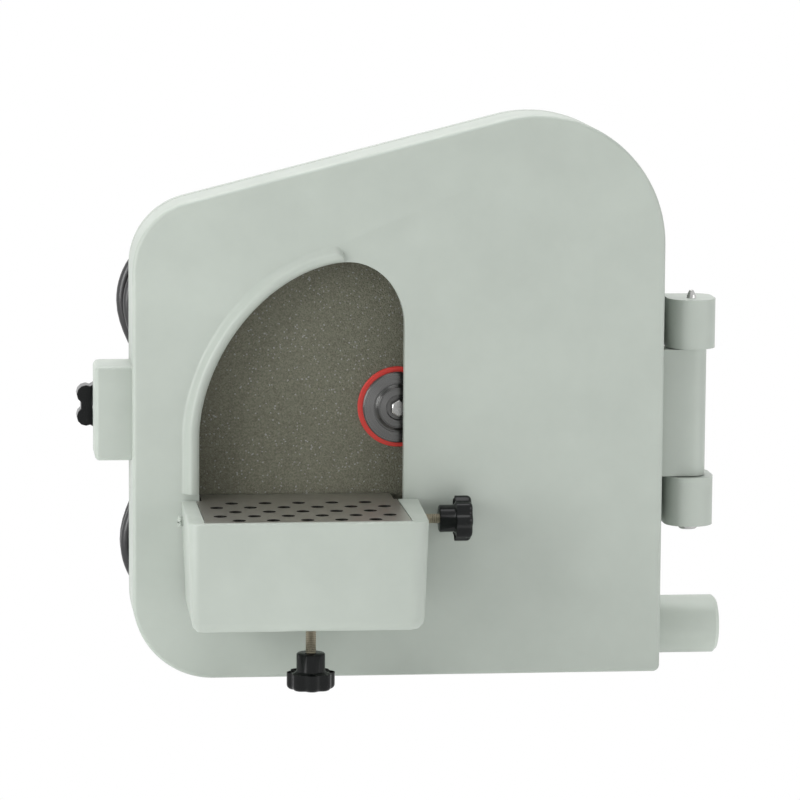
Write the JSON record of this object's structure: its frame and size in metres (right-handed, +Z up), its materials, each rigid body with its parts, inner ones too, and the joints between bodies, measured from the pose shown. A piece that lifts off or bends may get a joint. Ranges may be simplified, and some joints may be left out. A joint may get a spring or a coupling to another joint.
{
  "type": "dental model trimmer",
  "caption": "Bench grinder for plaster dental models: hinged housing with curved opening, wetted disc, tilting perforated table, drain, rear motor.",
  "frame": {"origin": "under the middle of the machine, on the surface that its feet stand on; the mains cord is left out of that middle", "axes": "+X to the user's right, +Y from the user's side towards the motor, +Z up"},
  "size_m": [0.35, 0.3415, 0.3074],
  "materials": {
    "enamel": "satin grey-green enamel on cast metal",
    "grit": "coarse bonded grit, grey-brown with fine sparkle",
    "bright_steel": "turned bright steel",
    "brushed_steel": "brushed stainless sheet",
    "cast_aluminium": "fine cast aluminium",
    "red_fibre": "red vulcanised fibre",
    "black_plastic": "glossy black moulded plastic",
    "black_rubber": "black rubber",
    "white_rubber": "off-white rubber strip",
    "brass": "plain brass",
    "copper": "varnished copper winding",
    "dark_steel": "laminated steel core"
  },
  "bodies": {
    "machine": {"back_plate": "enamel", "base_frame": "enamel", "motor_front_bell": "enamel", "motor_shell": "enamel", "motor_rear_bell": "enamel", "fan_cover": "enamel", "drain_sump": "enamel", "hinge_pin": "bright_steel", "front_bearing": "bright_steel", "rear_bearing": "bright_steel", "spray_tube": "bright_steel", "terminal_box": "cast_aluminium", "terminal_box_lid": "cast_aluminium", "rocker_frame": "black_plastic", "capacitor_hood": "black_plastic", "cord_tie": "black_plastic", "foot_front_left": "black_rubber", "foot_front_right": "black_rubber", "foot_rear_left": "black_rubber", "foot_rear_right": "black_rubber", "shaft_seal": "black_rubber", "cable_gland": "black_rubber", "cord_lead": "black_rubber", "cord_hank": "black_rubber", "cord_tail": "black_rubber", "plug_body": "black_rubber", "water_valve": "brass", "plug_pin_line": "brass", "plug_pin_neutral": "brass", "plug_pin_earth": "brass", "front_winding": "copper", "rear_winding": "copper", "stator_core": "dark_steel"},
    "spindle": {"grinding_disc": "grit", "disc_backing": "cast_aluminium", "fibre_washer": "red_fibre", "clamp_flange": "bright_steel", "wheel_bolt": "bright_steel", "motor_shaft": "bright_steel", "rotor": "dark_steel", "cooling_fan": "black_plastic"},
    "door": {"door_cover": "enamel", "door_gasket": "white_rubber", "table_bracket": "enamel", "pivot_screw": "bright_steel"},
    "table": {"table_tray": "enamel", "perforated_plate": "brushed_steel"},
    "table_clamp": {"clamp_stud": "brass", "clamp_knob": "black_plastic"},
    "stop_stud": {"stop_stud": "bright_steel"},
    "stop_knob": {"stop_knob": "black_plastic"},
    "latch_washer": {"latch_washer": "bright_steel"},
    "latch_knob": {"latch_screw": "bright_steel", "latch_knob": "black_plastic"},
    "rocker": {"rocker_cap": "black_plastic"},
    "valve_lever": {"valve_lever": "black_plastic"}
  },
  "joints": [
    {"name": "door_swing", "type": "hinge", "parent": "machine", "child": "door", "pos_m": [0.1524, -0.055, 0.1468], "axis": [0, 0, 1], "range_deg": [0, 120]},
    {"name": "disc_spin", "type": "hinge", "parent": "machine", "child": "spindle", "pos_m": [-0.0056, -0.053, 0.151], "axis": [0, 1, 0], "continuous": true},
    {"name": "table_tilt", "type": "hinge", "parent": "door", "child": "table", "pos_m": [-0.0611, -0.092, 0.096], "axis": [1, 0, 0], "range_deg": [-5, 10]},
    {"name": "clamp_turn", "type": "hinge", "parent": "table", "child": "table_clamp", "pos_m": [0.0129, -0.092, 0.096], "axis": [1, 0, 0], "range_deg": [0, 360]},
    {"name": "stop_slide", "type": "slide", "parent": "door", "child": "stop_stud", "axis": [0, 0, 1], "range_m": [-0.003, 0.009]},
    {"name": "stop_turn", "type": "hinge", "parent": "stop_stud", "child": "stop_knob", "pos_m": [-0.0571, -0.12, 0.0215], "axis": [0, 0, 1], "range_deg": [-1080, 3240]},
    {"name": "latch_slide", "type": "slide", "parent": "machine", "child": "latch_washer", "axis": [0, 1, 0], "range_m": [0, 0.014]},
    {"name": "latch_turn", "type": "hinge", "parent": "latch_washer", "child": "latch_knob", "pos_m": [-0.1596, -0.022, 0.1484], "axis": [0, 1, 0], "range_deg": [0, 2520.5]},
    {"name": "rocker_press", "type": "hinge", "parent": "machine", "child": "rocker", "pos_m": [-0.0536, 0.042, 0.244], "axis": [0, 0, 1], "range_deg": [0, 16]},
    {"name": "valve_turn", "type": "hinge", "parent": "machine", "child": "valve_lever", "pos_m": [0.1004, -0.0167, 0.269], "axis": [0, 0, 1], "range_deg": [-90, 0]}
  ],
  "couplings": [
    {"joint": "stop_turn", "follows": "stop_slide", "rad_per_m": 6283.2},
    {"joint": "latch_turn", "follows": "latch_slide", "rad_per_m": 3141.6}
  ]
}
